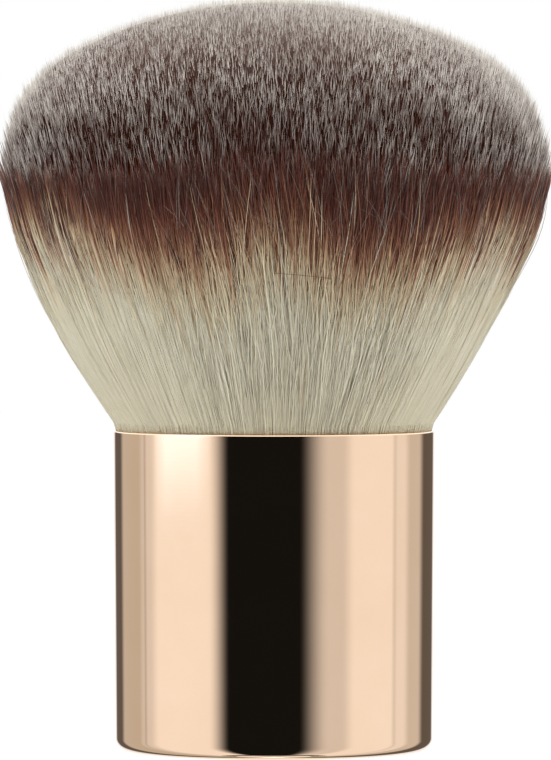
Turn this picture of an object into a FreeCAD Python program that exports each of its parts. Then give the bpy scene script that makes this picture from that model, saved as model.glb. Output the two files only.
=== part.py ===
# Kabuki makeup brush: a short plated handle with a flared, dome-trimmed bristle tuft.
# Millimetres, +Z up, origin at the centre of the handle's flat base.

import FreeCAD
import Part
import Sketcher
import math
import os

Vector = FreeCAD.Vector
Constraint = Sketcher.Constraint

# Driving dimensions: name, size, what it measures.
SIZES = [
    ("handle_height", 31.7, "base to rim of the handle shell"),
    ("rim_radius", 16.0, "outside of the shell at its open rim"),
    ("base_radius", 15.8, "outside of the shell at its base, drawn with a slight taper"),
    ("shell_wall", 0.5, "sheet thickness of the shell"),
    ("base_corner", 1.2, "outside rounding between wall and base"),
    ("rim_round", 0.2, "rounding of the rim's two edges"),
    ("pad_radius", 13.0, "adhesive pad under the ballast"),
    ("pad_thickness", 0.6, "adhesive pad"),
    ("ballast_radius", 14.2, "steel ballast disc"),
    ("ballast_height", 8.0, "steel ballast disc"),
    ("ballast_chamfer", 0.6, "broken edges of the ballast"),
    ("cup_radius", 14.9, "outside of the bristle cup"),
    ("cup_wall", 1.0, "wall of the bristle cup"),
    ("cup_floor", 1.5, "floor of the bristle cup"),
    ("cup_setback", 7.3, "from the cup's mouth up to the handle's rim"),
    ("cup_lead_in", 0.4, "chamfer inside the cup's mouth"),
    ("cup_fit", 0.1, "gap between the cup's ribs and the narrow end of the shell"),
    ("rib_width", 1.4, "each grip rib along the cup"),
    ("rib_count", 6, "grip ribs round the cup"),
    ("glue_layer", 0.4, "glue between the cup and the resin plug"),
    ("plug_height", 6.0, "resin plug that holds the bristle roots"),
    ("plug_round", 1.0, "rounding of the plug's lower edge"),
    ("waist_radius", 12.2, "bristle bundle where the cord binds it"),
    ("cord_diameter", 0.8, "binding cord"),
    ("cord_gap", 0.45, "between neighbouring turns of the cord"),
    ("cord_seat", 0.05, "between the cord and the bristles it binds"),
    ("cord_lead", 0.5, "from the plug up to the lowest turn"),
    ("cord_turns", 4, "turns of the binding cord"),
    ("mouth_gap", 0.15, "between the bristles and the shell at the rim"),
    ("head_radius", 27.3, "bristle head at its widest"),
    ("widest_height", 26.8, "rim to the widest part of the head"),
    ("flank_radius", 125.0, "curve of the flank between the mouth and the belly"),
    ("belly_radius", 21.0, "curve from the flank up to the widest part"),
    ("shoulder_radius", 13.2, "curve from the widest part over to the crown"),
    ("crown_rise", 3.5, "top of the shoulder's curve up to the top of the dome"),
    ("bend_radius", 30.0, "from the mouth's centre to where the free tips begin"),
    ("bend_gap", 0.3, "running gap between the held bristles and the free tips"),
]

# Heights along the axis, each stacked on the one below.
PAD_TOP = "sizes.shell_wall + sizes.pad_thickness"
BALLAST_TOP = f"{PAD_TOP} + sizes.ballast_height"
CUP_HEIGHT = f"sizes.handle_height - sizes.cup_setback - ({BALLAST_TOP})"
GLUE_BOTTOM = f"{BALLAST_TOP} + sizes.cup_floor"
PLUG_BOTTOM = f"{GLUE_BOTTOM} + sizes.glue_layer"
PLUG_TOP = f"{PLUG_BOTTOM} + sizes.plug_height"
CORD_PITCH = "(sizes.cord_diameter + sizes.cord_gap)"
CORD_BOTTOM = f"{PLUG_TOP} + sizes.cord_lead + sizes.cord_diameter / 2"
CORD_TOP = f"{CORD_BOTTOM} + sizes.cord_turns * {CORD_PITCH} + sizes.cord_diameter / 2"
WIDEST = "sizes.handle_height + sizes.widest_height"
CROWN = f"{WIDEST} + sizes.shoulder_radius + sizes.crown_rise"

# Radii that follow from a neighbour and a clearance.
CUP_BORE = "sizes.cup_radius - sizes.cup_wall"
RIB_RADIUS = "sizes.base_radius - sizes.shell_wall - sizes.cup_fit"
PLUG_RADIUS = f"{CUP_BORE} - sizes.glue_layer"
CORD_RADIUS = "sizes.waist_radius + sizes.cord_seat + sizes.cord_diameter / 2"
MOUTH_RADIUS = "sizes.rim_radius - sizes.shell_wall - sizes.mouth_gap"

FLAT = 1e-6  # two heights closer than this are the same height
FULL_TURN = 360

doc = FreeCAD.newDocument("kabuki_brush")
sheet = doc.addObject("Spreadsheet::Sheet", "sizes")


def fill_sheet():
    for row, (name, size, note) in enumerate(SIZES, 1):
        sheet.set(f"A{row}", name)
        sheet.set(f"B{row}", str(size))
        sheet.set(f"C{row}", note)
        sheet.setAlias(f"B{row}", name)
    doc.recompute()


def size_of(expression):
    return float(sheet.evalExpression(expression))


def bind(feature, **expressions):
    for name, expression in expressions.items():
        feature.setExpression(name, expression)


def lift(feature, height):
    feature.setExpression(".Placement.Base.z", height)


def new_body(label):
    body = doc.addObject("PartDesign::Body", label)
    body.Label = label
    return body


def new_sketch(body, name, role):
    sketch = body.newObject("Sketcher::SketchObject", name)
    plane = next(p for p in body.Origin.OriginFeatures if p.Role == role)
    sketch.AttachmentSupport = (plane, [""])
    sketch.MapMode = "FlatFace"
    return sketch


def dimension(sketch, kind, *reference, size):
    number = sketch.addConstraint(Constraint(kind, *reference, size_of(size)))
    sketch.setExpression(f"Constraints[{number}]", size)


def place_point(sketch, edge, end, across, up):
    # Ties one end of an edge to its distances from the sketch's origin.
    for kind, axis, size in (("DistanceX", -2, across), ("DistanceY", -1, up)):
        if size == "0":
            sketch.addConstraint(Constraint("PointOnObject", edge, end, axis))
        else:
            dimension(sketch, kind, -1, 1, edge, end, size=size)


def polygon(sketch, corners):
    # A closed outline of straight edges, each corner tied to its two expressions.
    points = [Vector(size_of(across), size_of(up)) for across, up in corners]
    edges = [
        sketch.addGeometry(Part.LineSegment(start, end))
        for start, end in zip(points, points[1:] + points[:1])
    ]
    for edge, following in zip(edges, edges[1:] + edges[:1]):
        sketch.addConstraint(Constraint("Coincident", edge, 2, following, 1))
    for edge, (across, up) in zip(edges, corners):
        place_point(sketch, edge, 1, across, up)


def revolve(body, sketch, name):
    turned = body.newObject("PartDesign::Revolution", name)
    turned.Profile = sketch
    turned.ReferenceAxis = (sketch, ["V_Axis"])
    turned.Angle = FULL_TURN
    doc.recompute()
    return turned


def disc(body, name, radius, height):
    sketch = new_sketch(body, f"{name}_circle", "XY_Plane")
    circle = sketch.addGeometry(Part.Circle(Vector(), Vector(0, 0, 1), size_of(radius)))
    sketch.addConstraint(Constraint("Coincident", circle, 3, -1, 1))
    dimension(sketch, "Radius", circle, size=radius)
    pad = body.newObject("PartDesign::Pad", name)
    pad.Profile = sketch
    bind(pad, Length=height)
    doc.recompute()
    return pad


def rings(shape, height):
    # The names of the full circles that lie at one height.
    return [
        f"Edge{number}"
        for number, edge in enumerate(shape.Edges, 1)
        if edge.isClosed()
        and abs(edge.BoundBox.ZMin - height) < FLAT
        and abs(edge.BoundBox.ZMax - height) < FLAT
    ]


def dress(body, kind, name, base, edges, **expressions):
    feature = body.newObject(f"PartDesign::{kind}", name)
    feature.Base = (base, edges)
    bind(feature, **expressions)
    doc.recompute()
    return feature


def handle_shell():
    # A drawn metal cup: tapered wall, rounded base corner and softened rim.
    body = new_body("handle_shell")
    sketch = new_sketch(body, "shell_outline", "XZ_Plane")
    corners = [
        ("0", "0"),
        ("sizes.base_radius", "0"),
        ("sizes.rim_radius", "sizes.handle_height"),
        ("0", "sizes.handle_height"),
    ]
    polygon(sketch, corners)
    blank = revolve(body, sketch, "shell_blank")
    corner = dress(
        body, "Fillet", "shell_corner", blank, rings(blank.Shape, 0), Radius="sizes.base_corner"
    )
    rim = size_of("sizes.handle_height")
    mouth = [
        f"Face{number}"
        for number, face in enumerate(corner.Shape.Faces, 1)
        if abs(face.BoundBox.ZMin - rim) < FLAT
    ]
    hollow = dress(body, "Thickness", "shell_hollow", corner, mouth, Value="sizes.shell_wall")
    hollow.Reversed = True
    doc.recompute()
    dress(body, "Fillet", "shell_rim", hollow, rings(hollow.Shape, rim), Radius="sizes.rim_round")
    return body


def ballast_pad():
    # The adhesive pad that holds the ballast to the shell's floor.
    pad = doc.addObject("Part::Cylinder", "ballast_pad")
    bind(pad, Radius="sizes.pad_radius", Height="sizes.pad_thickness")
    lift(pad, "sizes.shell_wall")
    return pad


def ballast():
    # A steel disc that keeps the brush upright.
    body = new_body("ballast_weight")
    blank = disc(body, "ballast_disc", "sizes.ballast_radius", "sizes.ballast_height")
    edges = rings(blank.Shape, 0) + rings(blank.Shape, size_of("sizes.ballast_height"))
    dress(body, "Chamfer", "ballast_edges", blank, edges, Size="sizes.ballast_chamfer")
    lift(body, PAD_TOP)
    return body


def bristle_cup():
    # A moulded cup on the ballast, gripped in the shell by ribs, that takes the bristle knot.
    body = new_body("bristle_cup")
    sketch = new_sketch(body, "cup_outline", "XZ_Plane")
    corners = [
        ("0", "0"),
        ("sizes.cup_radius", "0"),
        ("sizes.cup_radius", CUP_HEIGHT),
        (CUP_BORE, CUP_HEIGHT),
        (CUP_BORE, "sizes.cup_floor"),
        ("0", "sizes.cup_floor"),
    ]
    polygon(sketch, corners)
    blank = revolve(body, sketch, "cup_blank")
    bore = size_of(CUP_BORE)
    mouth = [
        name
        for name in rings(blank.Shape, size_of(CUP_HEIGHT))
        if abs(blank.Shape.getElement(name).BoundBox.XMax - bore) < FLAT
    ]
    dress(body, "Chamfer", "cup_mouth", blank, mouth, Size="sizes.cup_lead_in")

    rib_sketch = new_sketch(body, "rib_outline", "XY_Plane")
    rib_root = "sizes.cup_radius - sizes.cup_wall / 2"
    rib_side = "sizes.rib_width / 2"
    rib_corners = [
        (rib_root, f"-{rib_side}"),
        (RIB_RADIUS, f"-{rib_side}"),
        (RIB_RADIUS, rib_side),
        (rib_root, rib_side),
    ]
    polygon(rib_sketch, rib_corners)
    rib = body.newObject("PartDesign::Pad", "cup_rib")
    rib.Profile = rib_sketch
    bind(rib, Length=CUP_HEIGHT)
    doc.recompute()
    ribs = body.newObject("PartDesign::PolarPattern", "cup_ribs")
    ribs.Originals = [rib]
    ribs.Axis = (rib_sketch, ["N_Axis"])
    ribs.Angle = FULL_TURN
    bind(ribs, Occurrences="sizes.rib_count")
    body.Tip = ribs
    lift(body, BALLAST_TOP)
    return body


def resin_plug():
    # The cast resin that locks the bristle roots together.
    body = new_body("resin_plug")
    blank = disc(body, "plug_disc", PLUG_RADIUS, "sizes.plug_height")
    dress(body, "Fillet", "plug_edge", blank, rings(blank.Shape, 0), Radius="sizes.plug_round")
    lift(body, PLUG_BOTTOM)
    return body


def socket_glue(plug):
    # The glue that fills the cup round the plug, up to the plug's top.
    fill = doc.addObject("Part::Cylinder", "glue_fill")
    bind(fill, Radius=CUP_BORE, Height="sizes.glue_layer + sizes.plug_height")
    lift(fill, GLUE_BOTTOM)
    glue = doc.addObject("Part::Cut", "socket_glue")
    glue.Base = fill
    glue.Tool = plug
    return glue


def arc_from(start, corner, end):
    # The arc that leaves start towards corner and arrives at end from it.
    cosine = (end - start).normalize().dot((corner - start).normalize())
    middle = (start + end + corner * (2 * cosine)) * (1 / (2 + 2 * cosine))
    return Part.Arc(start, middle, end).toShape()


def biarc(start, leaving, end, arriving):
    # Two arcs that join two points and keep the direction at both.
    chord = end - start
    both = leaving + arriving
    spread = 2 * (1 - leaving.dot(arriving))
    along = chord.dot(both)
    reach = (math.sqrt(along * along + spread * chord.dot(chord)) - along) / spread
    first = start + leaving * reach
    second = end - arriving * reach
    meeting = (first + second) * (1 / 2)
    return [arc_from(start, first, meeting), arc_from(meeting, second, end)]


def binding_cord():
    # The cord wound round the bristles just above the plug, as one unbroken tube.
    radius = size_of(CORD_RADIUS)
    pitch = size_of(CORD_PITCH)
    bottom = size_of(CORD_BOTTOM)
    cord = size_of("sizes.cord_diameter")
    turns = int(size_of("sizes.cord_turns"))
    rise = pitch / math.tau

    def point(angle):
        return Vector(radius * math.cos(angle), radius * math.sin(angle), bottom + rise * angle)

    def heading(angle):
        return Vector(-radius * math.sin(angle), radius * math.cos(angle), rise).normalize()

    # Both ends run straight for one diameter, where the cord is cut off and glued down.
    quarter = math.tau / 4
    last = turns * math.tau
    tail = point(0) - heading(0) * cord
    tip = point(last) + heading(last) * cord
    edges = [Part.LineSegment(tail, point(0)).toShape()]
    for step in range(4 * turns):
        start = step * quarter
        end = start + quarter
        edges += biarc(point(start), heading(start), point(end), heading(end))
    edges.append(Part.LineSegment(point(last), tip).toShape())
    path = Part.Wire(edges)
    section = Part.Wire(Part.Circle(tail, heading(0), cord / 2).toShape())
    shell = Part.BRepOffsetAPI.MakePipeShell(path)
    shell.add(section)
    shell.build()
    shell.makeSolid()

    winding = doc.addObject("Part::Feature", "binding_cord")
    winding.Shape = shell.shape()
    winding.Placement = FreeCAD.Placement()
    report_winding(path, winding.Shape, cord, turns)
    return winding


def report_winding(path, solid, cord, turns):
    # Compares the tube with its section times its length, and finds the least gap between turns.
    samples_per_turn = 144
    points = path.discretize(Number=samples_per_turn * turns + 1)
    apart = [
        (points[later] - points[first]).Length
        for first in range(len(points))
        for later in range(first + samples_per_turn // 2, len(points))
    ]
    expected = math.pi * cord * cord / 4 * path.Length
    print(f"binding cord: volume {solid.Volume:.3f}, section times length {expected:.3f}")
    print(f"binding cord: least gap between turns {min(apart) - cord:.3f}")


def tuft_outline(sketch):
    # Roots, waist, neck to the mouth, then flank, belly, shoulder and crown as tangent arcs.
    up = Vector(0, 1)
    mouth = Vector(size_of(MOUTH_RADIUS), size_of("sizes.handle_height"))
    widest = Vector(size_of("sizes.head_radius"), size_of(WIDEST))
    apex = Vector(0, size_of(CROWN))
    flank_radius = size_of("sizes.flank_radius")
    belly_radius = size_of("sizes.belly_radius")
    shoulder_radius = size_of("sizes.shoulder_radius")
    belly = widest - Vector(belly_radius, 0)
    shoulder = widest - Vector(shoulder_radius, 0)

    # The flank passes through the mouth and touches the belly from outside it.
    to_belly = belly - mouth
    remaining = flank_radius - belly_radius
    cosine = (flank_radius**2 + to_belly.Length**2 - remaining**2) / (
        2 * flank_radius * to_belly.Length
    )
    turn = math.atan2(to_belly.y, to_belly.x) + math.acos(cosine)
    flank = mouth + Vector(math.cos(turn), math.sin(turn)) * flank_radius
    flank_end = belly + (belly - flank).normalize() * belly_radius

    # The crown is centred on the axis and touches the shoulder.
    rise = apex.y - shoulder.y
    crown_rise = size_of("sizes.crown_rise")
    crown_radius = (shoulder.x**2 + rise**2 - shoulder_radius**2) / (2 * crown_rise)
    crown = apex - up * crown_radius
    shoulder_end = shoulder + (shoulder - crown).normalize() * shoulder_radius

    def line(start, end):
        return sketch.addGeometry(Part.LineSegment(start, end))

    def arc(centre, start, end):
        circle = Part.Circle(centre, Vector(0, 0, 1), (start - centre).Length)
        angles = [math.atan2(p.y - centre.y, p.x - centre.x) for p in (start, end)]
        return sketch.addGeometry(Part.ArcOfCircle(circle, *angles))

    waist = size_of("sizes.waist_radius")
    root = size_of(PLUG_TOP)
    bound = size_of(CORD_TOP)
    root_edge = line(Vector(0, root), Vector(waist, root))
    waist_edge = line(Vector(waist, root), Vector(waist, bound))
    neck_edge = line(Vector(waist, bound), mouth)
    flank_edge = arc(flank, mouth, flank_end)
    belly_edge = arc(belly, flank_end, widest)
    shoulder_edge = arc(shoulder, widest, shoulder_end)
    crown_edge = arc(crown, shoulder_end, apex)
    axis_edge = line(apex, Vector(0, root))

    straight = [root_edge, waist_edge, neck_edge, flank_edge]
    for edge, following in zip(straight, straight[1:]):
        sketch.addConstraint(Constraint("Coincident", edge, 2, following, 1))
    curved = [flank_edge, belly_edge, shoulder_edge, crown_edge]
    for edge, following in zip(curved, curved[1:]):
        sketch.addConstraint(Constraint("Tangent", edge, 2, following, 1))
    sketch.addConstraint(Constraint("Coincident", crown_edge, 2, axis_edge, 1))
    sketch.addConstraint(Constraint("Coincident", axis_edge, 2, root_edge, 1))
    sketch.addConstraint(Constraint("PointOnObject", crown_edge, 3, -2))
    sketch.addConstraint(Constraint("Horizontal", belly_edge, 3, belly_edge, 2))

    place_point(sketch, root_edge, 1, "0", PLUG_TOP)
    place_point(sketch, root_edge, 2, "sizes.waist_radius", PLUG_TOP)
    place_point(sketch, waist_edge, 2, "sizes.waist_radius", CORD_TOP)
    place_point(sketch, neck_edge, 2, MOUTH_RADIUS, "sizes.handle_height")
    place_point(sketch, belly_edge, 2, "sizes.head_radius", WIDEST)
    place_point(sketch, axis_edge, 1, "0", CROWN)
    dimension(sketch, "Radius", flank_edge, size="sizes.flank_radius")
    dimension(sketch, "Radius", belly_edge, size="sizes.belly_radius")
    dimension(sketch, "Radius", shoulder_edge, size="sizes.shoulder_radius")


def bend_ball(name, radius):
    # A ball on the mouth's centre, where the free tips pivot as the tuft bends.
    ball = doc.addObject("Part::Sphere", name)
    bind(ball, Radius=radius)
    lift(ball, "sizes.handle_height")
    return ball


def bristles():
    # One tuft, parted by a ball face into the held bristles and the tips that bend away.
    tuft = new_body("bristle_tuft")
    sketch = new_sketch(tuft, "tuft_outline", "XZ_Plane")
    tuft_outline(sketch)
    revolve(tuft, sketch, "tuft_turned")

    held = doc.addObject("Part::Common", "bristle_base")
    held.Base = tuft
    held.Tool = bend_ball("held_ball", "sizes.bend_radius")
    tips = doc.addObject("Part::Cut", "bristle_head")
    tips.Base = tuft
    tips.Tool = bend_ball("free_ball", "sizes.bend_radius + sizes.bend_gap")
    return [held, tips]


def check(pieces):
    broken = [
        item.Label for item in doc.Objects if {"Invalid", "Error"} & set(item.State)
    ]
    broken += [
        piece.Label for piece in pieces if piece.Shape.isNull() or not piece.Shape.isValid()
    ]
    if broken:
        raise RuntimeError(f"these did not build: {broken}")


def main():
    fill_sheet()
    plug = resin_plug()
    pieces = [
        handle_shell(),
        ballast_pad(),
        ballast(),
        bristle_cup(),
        socket_glue(plug),
        plug,
        binding_cord(),
        *bristles(),
    ]
    doc.recompute()
    check(pieces)
    os.makedirs("parts", exist_ok=True)
    for piece in pieces:
        piece.Shape.exportStep(f"parts/{piece.Label}.step")
        box = piece.Shape.BoundBox
        print(
            f"{piece.Label}: {len(piece.Shape.Solids)} solid, volume {piece.Shape.Volume:.1f},"
            f" z {box.ZMin:.2f} to {box.ZMax:.2f}"
        )


main()
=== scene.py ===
import math

import bpy
import numpy as np
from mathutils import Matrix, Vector


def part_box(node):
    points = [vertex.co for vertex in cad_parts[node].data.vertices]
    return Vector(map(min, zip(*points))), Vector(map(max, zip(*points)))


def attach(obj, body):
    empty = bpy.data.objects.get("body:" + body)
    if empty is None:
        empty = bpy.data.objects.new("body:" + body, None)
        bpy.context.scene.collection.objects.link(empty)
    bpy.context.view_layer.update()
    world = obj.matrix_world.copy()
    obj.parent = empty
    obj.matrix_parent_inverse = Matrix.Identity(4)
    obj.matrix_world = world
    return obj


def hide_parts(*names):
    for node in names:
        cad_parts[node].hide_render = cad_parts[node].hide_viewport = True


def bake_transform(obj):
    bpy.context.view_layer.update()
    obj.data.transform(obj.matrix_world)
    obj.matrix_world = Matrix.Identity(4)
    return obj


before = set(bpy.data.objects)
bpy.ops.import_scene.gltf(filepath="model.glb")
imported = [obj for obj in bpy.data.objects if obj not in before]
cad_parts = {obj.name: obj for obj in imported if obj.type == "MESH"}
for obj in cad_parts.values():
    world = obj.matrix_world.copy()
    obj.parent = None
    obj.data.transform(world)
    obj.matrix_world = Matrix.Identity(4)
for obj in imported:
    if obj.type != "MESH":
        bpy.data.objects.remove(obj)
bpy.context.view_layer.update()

# Kabuki brush: a polished rose metal handle and a flared tuft of dyed fibres.
# Metres, in the same frame as the solids, with the handle's base on the floor.
mm = 0.001
seedBase = 4127
seeds = {"crown": 1, "flank": 2, "clumps": (11, 12, 13), "patch": 14, "wisp": 21, "edge": 30, "strays": 40}
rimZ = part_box("handle_shell")[1].z
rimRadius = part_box("handle_shell")[1].x
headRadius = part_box("bristle_head")[1].x
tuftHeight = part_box("bristle_head")[1].z - rimZ
print("frame loaded, tuft", round(tuftHeight / mm, 2), "mm tall")


# small helpers for nodes and meshes
def node(tree, kind, **values):
    made = tree.nodes.new(kind)
    for key, value in values.items():
        if key in made.inputs:
            made.inputs[key].default_value = value
        else:
            setattr(made, key, value)
    return made


def feed(tree, value, socket):
    if isinstance(value, (int, float)):
        socket.default_value = value
    else:
        tree.links.new(value, socket)


def calc(tree, operation, *values):
    made = node(tree, "ShaderNodeMath", operation=operation)
    for value, socket in zip(values, made.inputs):
        feed(tree, value, socket)
    return made.outputs[0]


def ramp(tree, factor, stops, mode="LINEAR"):
    made = node(tree, "ShaderNodeValToRGB")
    made.color_ramp.interpolation = mode
    points = made.color_ramp.elements
    while len(points) < len(stops):
        points.new(0.5)
    for point, (place, colour) in zip(points, stops):
        point.position = place
        point.color = (*colour, 1)
    tree.links.new(factor, made.inputs["Fac"])
    return made.outputs["Color"]


def span(tree, factor, low, high, start=0.0, end=1.0):
    made = node(tree, "ShaderNodeMapRange")
    values = {"Value": factor, "From Min": start, "From Max": end, "To Min": low, "To Max": high}
    for name, value in values.items():
        feed(tree, value, made.inputs[name])
    return made.outputs["Result"]


def blendColours(tree, factor, first, second):
    made = node(tree, "ShaderNodeMix", data_type="RGBA")
    tree.links.new(factor, made.inputs["Factor"])
    made.inputs["A"].default_value = (*first, 1)
    made.inputs["B"].default_value = (*second, 1)
    return made.outputs["Result"]


def srgb(*levels):
    parts = [level / 255 for level in levels]
    return tuple(c / 12.92 if c <= 0.04045 else ((c + 0.055) / 1.055) ** 2.4 for c in parts)


def newMaterial(name):
    mat = bpy.data.materials.new(name)
    mat.use_nodes = True
    mat.node_tree.nodes.clear()
    return mat, mat.node_tree


def newPrincipled(name, **values):
    mat, tree = newMaterial(name)
    out = node(tree, "ShaderNodeOutputMaterial")
    shader = node(tree, "ShaderNodeBsdfPrincipled", **values)
    tree.links.new(shader.outputs["BSDF"], out.inputs["Surface"])
    return mat, tree, shader


def addObject(name, data):
    made = bpy.data.objects.new(name, data)
    bpy.context.scene.collection.objects.link(made)
    return made


def wear(obj, mat):
    obj.data.materials.clear()
    obj.data.materials.append(mat)


def ringFaces(rings, count):
    # quads between neighbouring rings of points
    faces = []
    for i in range(rings - 1):
        for k in range(count):
            j = (k + 1) % count
            faces.append((i * count + k, i * count + j, (i + 1) * count + j, (i + 1) * count + k))
    return faces


def aim(obj, place, target):
    obj.location = place
    obj.rotation_euler = (Vector(target) - Vector(place)).to_track_quat("-Z", "Y").to_euler()


def draws(offset):
    return np.random.default_rng(seedBase + offset)


# the photograph's viewpoint: a long lens a little above the middle of the brush
viewpoint = {"place": (0, -0.638, 0.0475), "target": (0.00015, 0, 0.03673), "lens": 303.8}


def makeCamera():
    data = bpy.data.cameras.new("camera")
    data.lens = viewpoint["lens"]
    data.sensor_width = 36
    data.clip_start = 0.01
    data.clip_end = 20
    camera = addObject("camera", data)
    aim(camera, viewpoint["place"], viewpoint["target"])
    bpy.context.scene.camera = camera
    bpy.context.scene.view_settings.view_transform = "Standard"


makeCamera()
print("camera set")


# pale floor, white surround and lamps
studio = {
    "ambient": 0.45,
    "floorSize": 3.0,
    "floorTone": (0.8, 0.8, 0.8),
    "floorLift": 0.66,  # how much the floor shows above its lit level
    "lamps": [
        # name, place, size, watts
        ("topLamp", (0.0, -0.15, 0.75), 0.7, 4.4),
        ("leftLamp", (-0.7, -0.30, 0.3), 0.6, 2.3),
        ("rightLamp", (0.7, -0.30, 0.3), 0.6, 2.3),
    ],
    "lampTarget": (0, 0, 0.045),
}


def makeWorld():
    world = bpy.data.worlds.new("whiteStudio")
    bpy.context.scene.world = world
    world.use_nodes = True
    tree = world.node_tree
    tree.nodes.clear()
    path = node(tree, "ShaderNodeLightPath")
    seen = calc(tree, "MAXIMUM", path.outputs["Is Camera Ray"], path.outputs["Is Glossy Ray"])
    seen = calc(tree, "MAXIMUM", seen, path.outputs["Is Transmission Ray"])
    back = node(tree, "ShaderNodeBackground", Color=(1, 1, 1, 1))
    tree.links.new(span(tree, seen, studio["ambient"], 1.0), back.inputs["Strength"])
    out = node(tree, "ShaderNodeOutputWorld")
    tree.links.new(back.outputs[0], out.inputs["Surface"])


def makeFloor():
    half = studio["floorSize"] / 2
    corners = [(-half, -half, 0), (half, -half, 0), (half, half, 0), (-half, half, 0)]
    mesh = bpy.data.meshes.new("floor")
    mesh.from_pydata(corners, [], [(0, 1, 2, 3)])
    floor = addObject("floor", mesh)
    mat, tree = newMaterial("paleFloor")
    matt = node(tree, "ShaderNodeBsdfDiffuse", Color=(*studio["floorTone"], 1))
    glow = node(tree, "ShaderNodeEmission", Color=(1, 1, 1, 1))
    path = node(tree, "ShaderNodeLightPath")
    lift = calc(tree, "MULTIPLY", path.outputs["Is Camera Ray"], studio["floorLift"])
    tree.links.new(lift, glow.inputs["Strength"])
    lit = node(tree, "ShaderNodeAddShader")
    tree.links.new(matt.outputs[0], lit.inputs[0])
    tree.links.new(glow.outputs[0], lit.inputs[1])
    clear = node(tree, "ShaderNodeBsdfTransparent")  # seen from beneath, the floor isn't there
    side = node(tree, "ShaderNodeNewGeometry")
    both = node(tree, "ShaderNodeMixShader")
    tree.links.new(side.outputs["Backfacing"], both.inputs["Fac"])
    tree.links.new(lit.outputs[0], both.inputs[1])
    tree.links.new(clear.outputs[0], both.inputs[2])
    out = node(tree, "ShaderNodeOutputMaterial")
    tree.links.new(both.outputs[0], out.inputs["Surface"])
    wear(floor, mat)
    floor.visible_glossy = False


def makeLamps():
    for name, place, size, watts in studio["lamps"]:
        data = bpy.data.lights.new(name, "AREA")
        data.shape = "DISK"
        data.size = size
        data.energy = watts
        lamp = addObject(name, data)
        aim(lamp, place, studio["lampTarget"])
        lamp.visible_glossy = False


makeWorld()
makeFloor()
makeLamps()
print("studio lit")


# a bowl of boards and soft boxes that only the polished metal sees
bowl = {
    "radius": 0.8,
    "top": 60,                  # degrees above the horizon
    "foot": -89.5,
    "boards": [
        # from, to (degrees round from the camera, left is negative), level, tint
        (-180, -164, 1.0, (1, 1, 1)),
        (-158, -144, 0.13, (1, 0.88, 0.80)),
        (-136, -113, 0.60, (1, 0.95, 0.86)),
        (-108, -107, 0.72, (1, 1, 1)),
        (-106, -105.5, 0.55, (1, 0.95, 0.9)),
        (-103, -100, 0.80, (1, 1, 1)),
        (-90, -48, 1.05, (1, 1, 1)),
        (-32, 18, 0.008, (1, 1, 1)),
        (40, 49, 0.76, (1, 1, 1)),
        (60, 93, 1.03, (1, 1, 1)),
        (95.5, 96.5, 0.80, (1, 1, 1)),
        (99, 106, 0.93, (1, 1, 1)),
        (115, 126, 0.68, (1, 0.97, 0.92)),
        (136, 158, 0.13, (1, 0.88, 0.76)),
        (164, 180, 1.0, (1, 1, 1)),
    ],
    "hotSpan": (-96, -44),      # the left soft box is brighter towards its top
    "hotSoft": 0.5,             # share of its half width that isn't faded
    "hotHeights": (-0.016, 0.006),
    "hotLevel": 0.85,
    "hotTint": (0.45, 0.72, 1.0),
    "darkLine": (-70, -76),     # degrees below the horizon, seen in the base's rounded corner
    "darkSpan": 104,            # degrees each side of the front
    "underLevel": 0.40,
    "underShare": 0.42,
    "browHeights": (9, 15),     # degrees up, where the boards end and an overhead soft box begins
    "browLevel": 1.5,
    "segments": 180,
    "rings": 60,
}


def bowlMesh():
    count, rings, radius = bowl["segments"], bowl["rings"], bowl["radius"]
    verts = []
    for i in range(rings):
        rise = math.radians(bowl["top"] + (bowl["foot"] - bowl["top"]) * i / (rings - 1))
        for k in range(count):
            turn = math.tau * k / count
            out = radius * math.cos(rise)
            verts.append((out * math.sin(turn), -out * math.cos(turn), radius * math.sin(rise)))
    mesh = bpy.data.meshes.new("reflectorBowl")
    mesh.from_pydata(verts, [], ringFaces(rings, count))
    return mesh


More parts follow.
